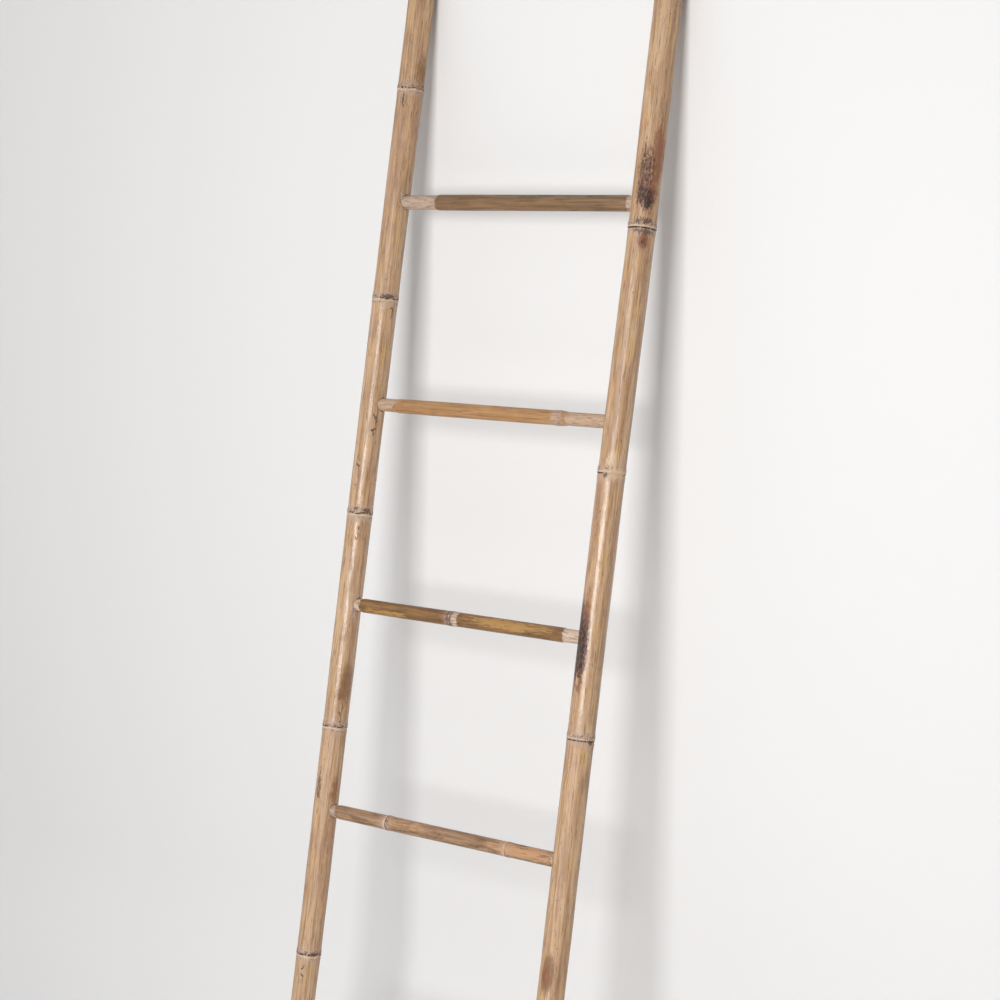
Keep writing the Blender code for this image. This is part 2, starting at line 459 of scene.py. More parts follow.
@dataclass(frozen=True)
class VarnishedCulm:
    """The skin of a dried culm under a thin varnish.

    Bamboo skin is smooth and waxy with fibre bundles about a millimetre apart, so the eye sees long
    fine streaks, a sharp highlight that those streaks break up, dull rough bands at the nodes, and
    dark flecks of mould and scorch.

    Attributes:
        name: the material's name.
        place: from the upright culm to the rack, which turns the pattern with the culm.
        seed: moves the pattern, so that no two culms match.
        light: the palest skin.
        middle: the usual skin.
        deep: the darker streaks.
        accent: the colour of the patches painted as accent.
        golden: whether it has yellow patches.
        mottling: how strongly large patches differ, 0 to 1.
        flecks: how many dark flecks there are, 0 to 1.
        roughness: of the varnish where it is even.
        node_wear: how far the rings at the nodes waver, 0 to 1.
        rings: what those rings are.
        bare: the shaved wood.
    """

    name: str
    place: Matrix
    seed: float
    light: str = "C3A381"
    middle: str = "A98566"
    deep: str = "836046"
    accent: str = "A98235"
    golden: bool = True
    mottling: float = 0.35
    flecks: float = 0.5
    roughness: float = 0.19
    node_wear: float = 0.3
    rings: tuple[NodeRing, ...] = CRISP_NODE
    bare: str = "B39C8A"

    COLLAR = "AC9283"
    GOLD = "C29A62"
    SCRATCH = "664530"
    DIRT = "3E2C24"
    SCORCH = "22140F"
    HAZE = "603D30"
    SINGE = "7D4A30"
    STAIN = "75502F"
    BARE_DEEP = "846C5D"

    def material(self) -> bpy.types.Material:
        """Builds the material.

        Returns:
            The material.
        """
        material, node, shader = new_material(self.name)
        spot = culm_space(node, self.place, self.seed)
        grain = self.grain(node, spot)
        colour = self.skin_colour(node, spot, grain)
        colour, collar = self.node_band(node, spot, colour)
        colour, masks = self.marks(node, spot, colour)
        links = material.node_tree.links
        links.new(colour, shader.inputs["Base Color"])
        links.new(self.gloss(node, grain, collar, masks), shader.inputs["Roughness"])
        links.new(self.relief(node, spot, grain, masks), shader.inputs["Normal"])
        shader.inputs["IOR"].default_value = 1.5
        shader.inputs["Metallic"].default_value = 0.0
        return material

    def grain(self, node: AddNode, spot: Socket) -> dict[str, Socket]:
        """The patterns that run along the fibres.

        Args:
            node: adds a node to the material.
            spot: the culm's own coordinates.

        Returns:
            fibre: bundles 1.2 mm apart. band: broad streaks. mottle: patches. ripple: uneven varnish.
        """
        return {
            "fibre": drawn_out(node, spot, 1.2 * MM, 90 * MM, 4.0),
            "band": drawn_out(node, spot, 8 * MM, 170 * MM, 2.0),
            "mottle": drawn_out(node, spot, 14 * MM, 42 * MM, 5.0, 0.6),
            "ripple": drawn_out(node, spot, 3.0 * MM, 9 * MM, 4.0, 0.8),
        }

    def skin_colour(self, node: AddNode, spot: Socket, grain: dict[str, Socket]) -> Socket:
        """Tan skin with streaks, patches and dark flecks.

        Args:
            node: adds a node to the material.
            spot: the culm's own coordinates.
            grain: the patterns from grain().

        Returns:
            The colour.
        """
        tone = node("Attribute", gives="Fac", attribute_name="tone")
        broad = node("Math", node("MapRange", grain["band"], 0.32, 0.68, **SMOOTH), tone, operation="ADD")
        colour = node("Mix", broad, linear(self.light), linear(self.middle), **OVER)
        gold = drawn_out(node, spot, 10 * MM, 34 * MM, 4.0, 0.6)
        strand = drawn_out(node, spot, 3.0 * MM, 60 * MM, 4.0)
        scratch = drawn_out(node, spot, 1.7 * MM, 24 * MM, 3.0, 0.3)
        layers = (
            (grain["mottle"], 0.45, 0.72, self.mottling, self.deep),
            (gold, 0.50, 0.66, 0.55, self.GOLD if self.golden else self.light),
            (strand, 0.50, 0.68, 0.6, self.deep),
            (strand, 0.47, 0.30, 0.6, self.light),
            (grain["fibre"], 0.48, 0.74, 0.65, self.deep),
            (scratch, 0.60, 0.69, 0.65, self.SCRATCH),
        )
        for pattern, none, full, most, shade in layers:
            share = node("MapRange", pattern, none, full, 0.0, most, **SMOOTH)
            colour = node("Mix", share, colour, linear(shade), **OVER)
        fleck = drawn_out(node, spot, 1.7 * MM, 5 * MM, 2.0, 0.4)
        where = node("MapRange", drawn_out(node, spot, 16 * MM, 50 * MM), 0.42, 0.60, **SMOOTH)
        cut = 0.74 - 0.08 * self.flecks
        fleck = node("MapRange", fleck, cut - 0.05, cut, 0.0, 0.7, **SMOOTH)
        fleck = node("Math", fleck, where, operation="MULTIPLY")
        return node("Mix", fleck, colour, linear(self.DIRT), **OVER)

    def node_band(self, node: AddNode, spot: Socket, colour: Socket) -> tuple[Socket, Socket]:
        """A bamboo node's dull collar, its rings and the dots of root buds over it.

        Args:
            node: adds a node to the material.
            spot: the culm's own coordinates.
            colour: the skin so far.

        Returns:
            The colour, and how far a point belongs to the collar.
        """
        near_node = node("Attribute", gives="Fac", attribute_name="from_node")
        wobble = drawn_out(node, spot, 8 * MM, 6 * MM, 4.0)
        wobble = node("Math", wobble, 0.5, operation="SUBTRACT")
        above = node("Math", near_node, node("Math", wobble, 12 * MM, operation="MULTIPLY"), operation="ADD")
        away = node("Math", above, operation="ABSOLUTE")
        collar = node("MapRange", away, 17 * MM, 4 * MM, **SMOOTH)
        share = node("Math", collar, 0.65, operation="MULTIPLY")
        colour = node("Mix", share, colour, linear(self.COLLAR), **OVER)
        wavy = node("Math", wobble, self.node_wear * 9 * MM, operation="MULTIPLY")
        level = node("Math", near_node, wavy, operation="ADD")
        broken = drawn_out(node, spot, 3.5 * MM, 3.5 * MM, 3.0)
        for ring in self.rings:
            away = node("Math", node("Math", level, ring.place, operation="SUBTRACT"), operation="ABSOLUTE")
            share = node("MapRange", away, ring.reach, 0.3 * ring.reach, 0.0, ring.most, **SMOOTH)
            if ring.gaps:
                cut = 0.28 + 0.22 * ring.gaps
                whole = node("MapRange", broken, cut, cut + 0.12, **SMOOTH)
                share = node("Math", share, whole, operation="MULTIPLY")
            colour = node("Mix", share, colour, linear(ring.shade), **OVER)
        buds = node("TexVoronoi", spot, 1 / (3.0 * MM), feature="F1")
        away = node("Math", node("Math", above, 5 * MM, operation="SUBTRACT"), operation="ABSOLUTE")
        row = node("MapRange", away, 6 * MM, 1 * MM, 0.0, 0.8, **SMOOTH)
        dots = node("Math", node("MapRange", buds, 0.46, 0.28, **SMOOTH), row, operation="MULTIPLY")
        return node("Mix", dots, colour, linear(self.DIRT), **OVER), collar

    def marks(self, node: AddNode, spot: Socket, colour: Socket) -> tuple[Socket, dict[MarkKind, Socket]]:
        """Stains, burns, accents, shaved zones and cracks, with ragged edges.

        Args:
            node: adds a node to the material.
            spot: the culm's own coordinates.
            colour: the skin so far.

        Returns:
            The colour, and each kind's final mask.
        """
        ragged = drawn_out(node, spot, 3.5 * MM, 9 * MM, 5.0, 0.8)
        fine = drawn_out(node, spot, 2.6 * MM, 5.5 * MM, 5.0, 0.8)
        pulled = drawn_out(node, spot, 2.2 * MM, 16 * MM, 4.0, 0.7)
        torn = drawn_out(node, spot, 6 * MM, 6 * MM, 4.0)
        fibrous = node("MapRange", pulled, 0.44, 0.66, 0.0, 0.8, **SMOOTH)
        bare = node("Mix", fibrous, linear(self.bare), linear(self.BARE_DEEP), **OVER)
        looks = (
            MarkLook(MarkKind.ACCENT, linear(self.accent), pulled, 2.6, 0.36, 0.40, 0.85),
            MarkLook(MarkKind.STAIN, linear(self.STAIN), ragged, 1.0, 0.36, 0.60, 0.75),
            MarkLook(MarkKind.SINGE, linear(self.SINGE), ragged, 1.4, 0.38, 0.70, 0.8),
            MarkLook(MarkKind.SCORCH, linear(self.HAZE), ragged, 1.9, 0.36, 0.70, 0.85),
            MarkLook(MarkKind.SCORCH, linear(self.SCORCH), fine, 2.8, 0.64, 0.56, 0.9),
            MarkLook(MarkKind.GRIME, linear(self.DIRT), fine, 2.4, 0.50, 0.30, 0.75),
            MarkLook(MarkKind.SHAVED, bare, torn, 1.8, 0.52, 0.16, 1.0, 1.15, (0.04, 0.2)),
        )
        masks = {}
        for look in looks:
            mask = look.mask(node)
            colour = node("Mix", mask, colour, look.shade, **OVER)
            masks[look.kind] = mask
        cracks = self.cracks(node, spot)
        masks[MarkKind.CRACKED] = cracks
        return node("Mix", cracks, colour, linear(self.DIRT), **OVER), masks

    def cracks(self, node: AddNode, spot: Socket) -> Socket:
        """Fine crazing of the varnish, drawn out along the culm, where it is painted.

        Args:
            node: adds a node to the material.
            spot: the culm's own coordinates.

        Returns:
            How far a point is in a crack, 0 to 1.
        """
        jagged = drawn_out(node, spot, 5 * MM, 12 * MM, 3.0)
        sideways = node("CombineXYZ", node("Math", jagged, 9 * MM, operation="MULTIPLY"))
        warped = node("VectorMath", spot, sideways, operation="ADD")
        squeezed = node("VectorMath", warped, (1, 1, 0.35), operation="MULTIPLY")
        lines = node("TexVoronoi", squeezed, 1 / (9 * MM), feature="DISTANCE_TO_EDGE")
        cracks = node("MapRange", lines, 0.085, 0.03, 0.0, 0.85, **SMOOTH)
        painted = node("Attribute", gives="Fac", attribute_name=MarkKind.CRACKED.value)
        painted = node("MapRange", painted, 0.25, 0.6, **SMOOTH)
        return node("Math", cracks, painted, operation="MULTIPLY")

    def gloss(
        self, node: AddNode, grain: dict[str, Socket], collar: Socket, masks: dict[MarkKind, Socket]
    ) -> Socket:
        """Roughness: even varnish, duller where it is thin, at nodes and where the skin is gone.

        Args:
            node: adds a node to the material.
            grain: the patterns from grain().
            collar: how far a point belongs to a node's collar.
            masks: each kind of mark's final mask.

        Returns:
            The roughness.
        """
        rough = node("MapRange", grain["mottle"], 0.45, 0.72, self.roughness, self.roughness + 0.16, **SMOOTH)
        streaky = node("Math", grain["fibre"], 0.10, operation="MULTIPLY")
        dull = node("Attribute", gives="Fac", attribute_name="dull")
        worn = node("Math", collar, 0.2, operation="MULTIPLY")
        bare = node("Math", masks[MarkKind.SHAVED], 0.3, operation="MULTIPLY")
        for more in (streaky, dull, worn):
            rough = node("Math", rough, more, operation="ADD")
        return node("Math", rough, bare, operation="ADD", use_clamp=True)

    def relief(
        self, node: AddNode, spot: Socket, grain: dict[str, Socket], masks: dict[MarkKind, Socket]
    ) -> Socket:
        """Fibre ridges, uneven varnish, burnt crust and cracks as bump.

        Args:
            node: adds a node to the material.
            spot: the culm's own coordinates.
            grain: the patterns from grain().
            masks: each kind of mark's final mask.

        Returns:
            The normal.
        """
        fibres = node("Math", grain["fibre"], 0.5, operation="MULTIPLY")
        height = node("Math", fibres, grain["ripple"], operation="ADD")
        crust = drawn_out(node, spot, 1.6 * MM, 1.8 * MM, 4.0)
        burnt = node("Math", masks[MarkKind.SCORCH], masks[MarkKind.SHAVED], operation="ADD")
        crust = node("Math", crust, burnt, operation="MULTIPLY")
        height = node("Math", height, crust, operation="ADD")
        height = node("Math", height, masks[MarkKind.CRACKED], operation="SUBTRACT")
        return node("Bump", named={"Height": height, "Strength": 0.75, "Distance": 0.5 * MM})


@dataclass(frozen=True)
class CutBamboo:
    """Bare bamboo where it was sawn, drilled or split.

    Fibre bundles end on a sawn face as brown dots in a pale straw ground, and along a split they
    run as fine lines, so the eye sees a dull, pale, finely dotted or lined surface.

    Attributes:
        name: the material's name.
        place: from the upright piece to the rack.
        ground: the straw between the bundles.
        bundle: the bundles.
    """

    name: str
    place: Matrix
    ground: str = "CDB28C"
    bundle: str = "8E6A48"

    def material(self) -> bpy.types.Material:
        """Builds the material.

        Returns:
            The material.
        """
        material, node, shader = new_material(self.name)
        spot = culm_space(node, self.place)
        drawn = node("VectorMath", spot, (1, 1, 0.02), operation="MULTIPLY")
        bundles = node("TexVoronoi", drawn, 1 / (0.9 * MM), feature="F1")
        cloudy = node("TexNoise", spot, 1 / (6 * MM), 4.0)
        dotted = node("ValToRGB", bundles, stops=((0.18, linear(self.bundle)), (0.42, linear(self.ground))))
        worn = node("ValToRGB", cloudy, stops=((0.35, (0.72, 0.66, 0.60, 1)), (0.65, (1, 1, 1, 1))))
        colour = node("Mix", 1.0, dotted, worn, data_type="RGBA", blend_type="MULTIPLY")
        bump = node("Bump", named={"Height": bundles, "Strength": 0.4, "Distance": 0.2 * MM})
        material.node_tree.links.new(colour, shader.inputs["Base Color"])
        material.node_tree.links.new(bump, shader.inputs["Normal"])
        shader.inputs["Roughness"].default_value = 0.78
        shader.inputs["IOR"].default_value = 1.45
        return material


@dataclass(frozen=True)
class MattPaint:
    """Matt emulsion: an even pale surface with no gloss and a trace of roller texture.

    Attributes:
        name: the material's name.
        colour: the paint.
        one_sided: whether it can be seen through from behind.
    """

    name: str
    colour: str
    one_sided: bool = False

    def material(self) -> bpy.types.Material:
        """Builds the material.

        Returns:
            The material.
        """
        material, node, shader = new_material(self.name)
        links = material.node_tree.links
        roller = node("TexNoise", node("TexCoord", gives="Object"), 1 / (3 * MM))
        bump = node("Bump", named={"Height": roller, "Strength": 0.04, "Distance": 0.1 * MM})
        links.new(bump, shader.inputs["Normal"])
        shader.inputs["Base Color"].default_value = linear(self.colour)
        shader.inputs["Roughness"].default_value = 0.9
        if self.one_sided:
            behind = node("NewGeometry", gives="Backfacing")
            seen = node("MixShader", behind, shader.outputs["BSDF"], node("BsdfTransparent"))
            links.new(seen, material.node_tree.nodes["Material Output"].inputs["Surface"])
        return material


# ---------------------------------------------------------------------------------------------
# Culms
# ---------------------------------------------------------------------------------------------


@dataclass(frozen=True)
class Mark:
    """One mark on a culm's skin: an oval patch that fades towards its edge.

    Attributes:
        kind: what it is.
        along: its middle, along the culm, in metres.
        angle: its middle, round the culm, in degrees.
        reach: half its length along the culm, in metres.
        spread: half its width round the culm, in degrees.
        strength: 0 to 1 in the middle.
    """

    kind: MarkKind
    along: float
    angle: float
    reach: float
    spread: float
    strength: float = 1.0


def marks_of(kind: MarkKind, *spots: tuple[float, ...]) -> tuple[Mark, ...]:
    """Marks of one kind, each spot with Mark's other values in their order."""
    return tuple(Mark(kind, *spot) for spot in spots)


@dataclass(frozen=True)
class Station:
    """One ring of vertices of a culm.

    Attributes:
        along: its place along the culm.
        radius: its radius.
        tilt: how far it is turned out of square, in radians.
    """

    along: float
    radius: float
    tilt: float = 0.0


# From above a node to below it: a rounded ridge, the thin rim that the sheath left, its groove and
# a low swelling. Distance above the node and swell, both in millimetres.
NODE_PROFILE = (
    (14.0, 0.0),
    (9.0, 0.30),
    (6.0, 0.75),
    (4.0, 0.95),
    (2.2, 0.60),
    (0.9, 0.40),
    (0.3, 1.00),
    (-0.4, 1.05),
    (-0.9, 0.15),
    (-1.9, -0.25),
    (-3.2, 0.20),
    (-5.5, 0.50),
    (-9.0, 0.25),
    (-13.0, 0.0),
)


@dataclass
class Culm:
    """One bamboo stem, grown upright and then put in its place.

    Attributes:
        name: the piece's name.
        stands_for: the CAD node it replaces.
        place: from the upright culm to the rack.
        low: where it starts along its axis.
        high: where it ends.
        low_radius: its radius at low.
        high_radius: its radius at high.
        nodes: where its nodes are.
        wall: its wall's thickness.
        sides: vertices round it.
        step: length of one row of faces.
        rim: how strongly its nodes stand out, times NODE_PROFILE.
        bends: where its axis has drifted to: place along it, sideways and forwards shifts.
        marks: what is on its skin.
        tones: how dark each internode is, -1 to 1, from low to high.
        dullness: added to each internode's roughness, where the varnish sank in.
        finish: its skin.
        septum: the thickness of the wall across it at a node.
        septum_hole: the radius of the hole knocked through that wall.
        edge: how far its sawn edges are rounded off.
        unevenness: how far its skin wanders.
    """

    name: str
    stands_for: str
    place: Matrix
    low: float
    high: float
    low_radius: float
    high_radius: float
    nodes: tuple[float, ...]
    wall: float
    finish: VarnishedCulm
    sides: int = 64
    step: float = 5 * MM
    rim: float = 1.0
    bends: tuple[tuple[float, float, float], ...] = ((0.0, 0.0, 0.0),)
    marks: tuple[Mark, ...] = ()
    tones: tuple[float, ...] = (0.0,)
    dullness: tuple[float, ...] = (0.0,)
    septum: float = 3 * MM
    septum_hole: float = 4 * MM
    edge: float = 0.6 * MM
    unevenness: float = 0.9 * MM

    def radius(self, along: float) -> float:
        """The plain radius between nodes."""
        share = (along - self.low) / (self.high - self.low)
        return self.low_radius + (self.high_radius - self.low_radius) * share

    def drift(self, along: float) -> tuple[float, float]:
        """How far the axis is off its line, sideways and forwards.

        Args:
            along: a place along the culm.

        Returns:
            Both shifts, in metres.
        """
        places = [bend[0] for bend in self.bends]
        sideways = float(np.interp(along, places, [bend[1] for bend in self.bends]))
        forwards = float(np.interp(along, places, [bend[2] for bend in self.bends]))
        return sideways, forwards

    def skin(self) -> list[Station]:
        """The outer rings, from low to high.

        Returns:
            The rings.
        """
        rings = [Station(self.low, self.radius(self.low) - self.edge)]
        rings.append(Station(self.low + self.edge, self.radius(self.low)))
        for number, node in enumerate(self.nodes):
            tilt = math.radians(0.9) * math.sin(2.4 * number + self.finish.seed)
            for above, swell in reversed(NODE_PROFILE):
                along = node + above * MM * (0.6 + 0.4 * self.rim)
                rings.append(Station(along, self.radius(along) + swell * MM * self.rim, tilt))
        rings.append(Station(self.high - self.edge, self.radius(self.high)))
        rings.append(Station(self.high, self.radius(self.high) - self.edge))
        return rings

    def hollow(self) -> list[Station]:
        """The inner rings, from high to low, in and out at each broken-through septum.

        Returns:
            The rings.
        """
        rings = [Station(self.high, self.radius(self.high) - self.wall + self.edge)]
        rings.append(Station(self.high - self.edge, self.radius(self.high) - self.wall))
        for node in reversed(self.nodes):
            bore = self.radius(node) - self.wall
            half = self.septum / 2
            rings.append(Station(node + 2 * half, bore))
            rings.append(Station(node + half, self.septum_hole))
            rings.append(Station(node - half, self.septum_hole))
            rings.append(Station(node - 2 * half, bore))
        rings.append(Station(self.low + self.edge, self.radius(self.low) - self.wall))
        rings.append(Station(self.low, self.radius(self.low) - self.wall + self.edge))
        return rings

    def grow(self) -> bpy.types.Object:
        """Extrudes a circle ring by ring, up the skin and down the hollow, and closes the foot.

        Returns:
            The culm, upright at the origin.
        """
        rings = self.skin() + self.hollow()
        first = rings[0]
        shift = self.drift(first.along)
        bpy.ops.object.select_all(action="DESELECT")
        bpy.ops.mesh.primitive_circle_add(
            vertices=self.sides, radius=first.radius, location=(shift[0], shift[1], first.along)
        )
        culm = bpy.context.object
        culm.name = self.name
        bake_place(culm)
        edit(culm)
        bpy.ops.mesh.select_mode(type="EDGE")
        bpy.ops.mesh.select_all(action="SELECT")
        for below, ring in zip(rings, rings[1:]):
            last, shift = shift, self.drift(ring.along)
            move = (shift[0] - last[0], shift[1] - last[1], ring.along - below.along)
            bpy.ops.mesh.extrude_region_move(TRANSFORM_OT_translate={"value": move})
            middle = (shift[0], shift[1], ring.along)
            share = ring.radius / below.radius
            bpy.ops.transform.resize(value=(share, share, 1), center_override=middle)
            if ring.tilt != below.tilt:
                turn = ring.tilt - below.tilt
                bpy.ops.transform.rotate(value=turn, orient_axis="Y", center_override=middle)
        bpy.ops.mesh.select_non_manifold()
        bpy.ops.mesh.bridge_edge_loops()
        bpy.ops.mesh.select_all(action="SELECT")
        bpy.ops.mesh.normals_make_consistent(inside=False)
        leave_edit()
        return culm

    def divide(self, culm: bpy.types.Object) -> None:
        """Cuts the skin's long faces into rows, so that it can be uneven and hold marks.

        Args:
            culm: the culm, upright.
        """
        edit(culm)
        while True:
            mesh = bmesh.from_edit_mesh(culm.data)
            longest = self.longest_skin_edge(mesh)
            if longest is None:
                break
            low, high = sorted(vertex.co.z for vertex in longest.verts)
            row = [edge for edge in mesh.edges if self.same_row(edge, low, high)]
            for edge in row:
                edge.select_set(True)
            length = sum(edge.calc_length() for edge in row) / len(row)
            bmesh.update_edit_mesh(culm.data)
            cuts = max(1, round(length / self.step) - 1)
            bpy.ops.mesh.subdivide_edgering(number_cuts=cuts, interpolation="LINEAR")
            bpy.ops.mesh.select_all(action="DESELECT")
        leave_edit()

    def longest_skin_edge(self, mesh: bmesh.types.BMesh) -> bmesh.types.BMEdge | None:
        """A lengthwise edge on the skin that is over two rows long, if there is one.

        Args:
            mesh: the culm in edit mode.

        Returns:
            The edge, or None.
        """
        for edge in mesh.edges:
            rise = abs(edge.verts[0].co.z - edge.verts[1].co.z)
            if rise > 2 * self.step and self.on_skin(edge.verts[0].co) and self.on_skin(edge.verts[1].co):
                return edge
        return None

    def same_row(self, edge: bmesh.types.BMEdge, low: float, high: float) -> bool:
        """Whether an edge runs lengthwise on the skin between two heights, give or take a tilt.

        Args:
            edge: the edge.
            low: the lower height.
            high: the upper height.

        Returns:
            True if it does.
        """
        bottom, top = sorted(edge.verts, key=lambda vertex: vertex.co.z)
        if not (self.on_skin(bottom.co) and self.on_skin(top.co)):
            return False
        near_both = abs(bottom.co.z - low) < TILT_SLACK and abs(top.co.z - high) < TILT_SLACK
        return near_both and top.co.z - bottom.co.z > self.step

    def on_skin(self, point: Vector) -> bool:
        """Whether a point lies on the outer skin.

        Args:
            point: in the upright culm.

        Returns:
            True if it does.
        """
        sideways, forwards = self.drift(point.z)
        out = math.hypot(point.x - sideways, point.y - forwards)
        return out > self.radius(point.z) - SKIN_DEPTH

    def weather(self, culm: bpy.types.Object) -> None:
        """Makes the culm as uneven as a grown one, in broad waves and in small ones.

        Args:
            culm: the culm, upright.
        """
        for size, share in WAVES:
            clouds = bpy.data.textures.new(f"{self.name}_waves_{size}", "CLOUDS")
            clouds.noise_scale = size
            clouds.noise_depth = 1
            strength = self.unevenness * share
            apply_modifier(culm, "DISPLACE", texture=clouds, strength=strength, texture_coords="LOCAL")

    def cutters(self) -> list[bpy.types.Object]:
        """What is drilled or split out of this culm."""
        return []

    def drill(self, culm: bpy.types.Object) -> None:
        """Cuts the holes.

        Args:
            culm: the culm, upright.
        """
        found = self.cutters()
        if not found:
            return
        cutter = join(found)
        apply_modifier(culm, "BOOLEAN", operation="DIFFERENCE", solver="EXACT", object=cutter)
        bpy.data.objects.remove(cutter, do_unlink=True)

    def paint(self, culm: bpy.types.Object) -> None:
        """Writes the masks that the finish reads.

        Args:
            culm: the culm, upright.
        """
        mesh = culm.data
        points = np.empty(len(mesh.vertices) * 3, np.float32)
        mesh.vertices.foreach_get("co", points)
        points = points.reshape(-1, 3).astype(float)
        along = points[:, 2]
        places = [bend[0] for bend in self.bends]
        sideways = points[:, 0] - np.interp(along, places, [bend[1] for bend in self.bends])
        forwards = points[:, 1] - np.interp(along, places, [bend[2] for bend in self.bends])
        angle = np.degrees(np.arctan2(sideways, -forwards))
        nodes = np.array(self.nodes or (self.low - 1.0,))
        gaps = along[:, None] - nodes[None, :]
        nearest = gaps[np.arange(len(along)), np.abs(gaps).argmin(axis=1)]
        self.write(mesh, "from_node", nearest)
        between = np.searchsorted(nodes, along)
        self.write(mesh, "tone", np.array([self.tones[i % len(self.tones)] for i in between]))
        self.write(mesh, "dull", np.array([self.dullness[i % len(self.dullness)] for i in between]))
        for kind in MarkKind:
            self.write(mesh, kind.value, self.mask(kind, along, angle))

    def mask(self, kind: MarkKind, along: np.ndarray, angle: np.ndarray) -> np.ndarray:
        """How strong one kind of mark is at each point.

        Args:
            kind: the kind.
            along: each point's place along the culm.
            angle: each point's angle round it, in degrees.

        Returns:
            0 to 1 for each point.
        """
        strongest = np.zeros(len(along))
        for mark in self.marks:
            if mark.kind != kind:
                continue
            round_by = (angle - mark.angle + 180) % 360 - 180
            away = np.hypot((along - mark.along) / mark.reach, round_by / mark.spread)
            near = np.clip(MARK_EDGE - away, 0, 1)
            strongest = np.maximum(strongest, mark.strength * near * near * (3 - 2 * near))
        return strongest

    def write(self, mesh: bpy.types.Mesh, name: str, values: np.ndarray) -> None:
        """Stores one number for each vertex."""
        layer = mesh.attributes.new(name, "FLOAT", "POINT")
        layer.data.foreach_set("value", values.astype(np.float32))

    def dress(self, culm: bpy.types.Object, cut: bpy.types.Material) -> None:
        """Gives the skin its varnish and every cut or inner face bare bamboo.

        Args:
            culm: the culm, upright.
            cut: bare bamboo.
        """
        culm.data.materials.clear()
        culm.data.materials.append(self.finish.material())
        culm.data.materials.append(cut)
        for face in culm.data.polygons:
            sideways, forwards = self.drift(face.center.z)
            out = Vector((face.center.x - sideways, face.center.y - forwards, 0)).normalized()
            skin = self.on_skin(face.center) and face.normal.dot(out) > SKIN_FACING
            face.material_index = 0 if skin else 1

    def finish_ends(self, culm: bpy.types.Object) -> None:
        """What is trimmed once the culm is in its place."""

    def build(self, cut: bpy.types.Material) -> bpy.types.Object:
        """Makes the whole culm and registers it.

        Args:
            cut: bare bamboo for its cut faces.

        Returns:
            The finished piece.
        """
        culm = self.grow()
        self.divide(culm)
        self.weather(culm)
        self.drill(culm)
        self.paint(culm)
        self.dress(culm, cut)
        culm.matrix_world = self.place
        bake_place(culm)
        self.finish_ends(culm)
        take(culm)
        bpy.ops.object.shade_smooth_by_angle(angle=SMOOTH_ANGLE)
        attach(culm, BODY)
        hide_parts(self.stands_for)
        LOG.info("%s: %d faces", culm.name, len(culm.data.polygons))
        return culm


@dataclass
class Rail(Culm):
    """An upright culm with a blind hole for each rung and a peg hole behind each.

    Attributes:
        side: left or right.
        rung_heights: where the holes are.
        tenon_radii: each tenon's radius, from the bottom up.
        hole_gap: how much wider a hole is than its tenon.
        peg_radius: of the peg holes.
        blind_depth: how far past the rail's axis a tenon's hole reaches.
        drill_reach: from the rail's axis to a tenon drill's back end.
        peg_reach: half a peg drill's length, which starts at the rail's axis.
    """

    side: Side = Side.LEFT
    rung_heights: tuple[float, ...] = ()
    tenon_radii: tuple[float, ...] = ()
    hole_gap: float = 1.1 * MM
    peg_radius: float = 2.9 * MM
    blind_depth: float = 13.0 * MM
    drill_reach: float = 50 * MM
    peg_reach: float = 20 * MM

    def cutters(self) -> list[bpy.types.Object]:
        """A drill for each tenon and each peg.

        Returns:
            The drills.
        """
        drills = []
        inwards = 1 if self.side is Side.LEFT else -1
        for height, radius in zip(self.rung_heights, self.tenon_radii):
            bpy.ops.mesh.primitive_cylinder_add(
                vertices=48,
                radius=radius + self.hole_gap,
                depth=self.drill_reach + self.blind_depth,
                location=(inwards * (self.drill_reach - self.blind_depth) / 2, 0, height),
                rotation=(0, math.pi / 2, 0),
            )
            drills.append(bpy.context.object)
            bpy.ops.mesh.primitive_cylinder_add(
                vertices=20,
                radius=self.peg_radius,
                depth=2 * self.peg_reach,
                location=(0, self.peg_reach, height),
                rotation=(math.pi / 2, 0, 0),
            )
            drills.append(bpy.context.object)
        return drills

    def finish_ends(self, culm: bpy.types.Object) -> None:
        """Trims the foot flat on the floor.

        Args:
            culm: the rail in its place.
        """
        edit(culm)
        bpy.ops.mesh.select_mode(type="EDGE")
        bpy.ops.mesh.select_all(action="SELECT")
        bpy.ops.mesh.bisect(plane_co=(0, 0, 0), plane_no=(0, 0, 1), clear_inner=True)
        bpy.ops.mesh.select_all(action="DESELECT")
        bpy.ops.mesh.select_non_manifold()
        bpy.ops.mesh.bridge_edge_loops()
        leave_edit()
        for face in culm.data.polygons:
            if abs(face.center.z) < 0.1 * MM:
                face.material_index = 1


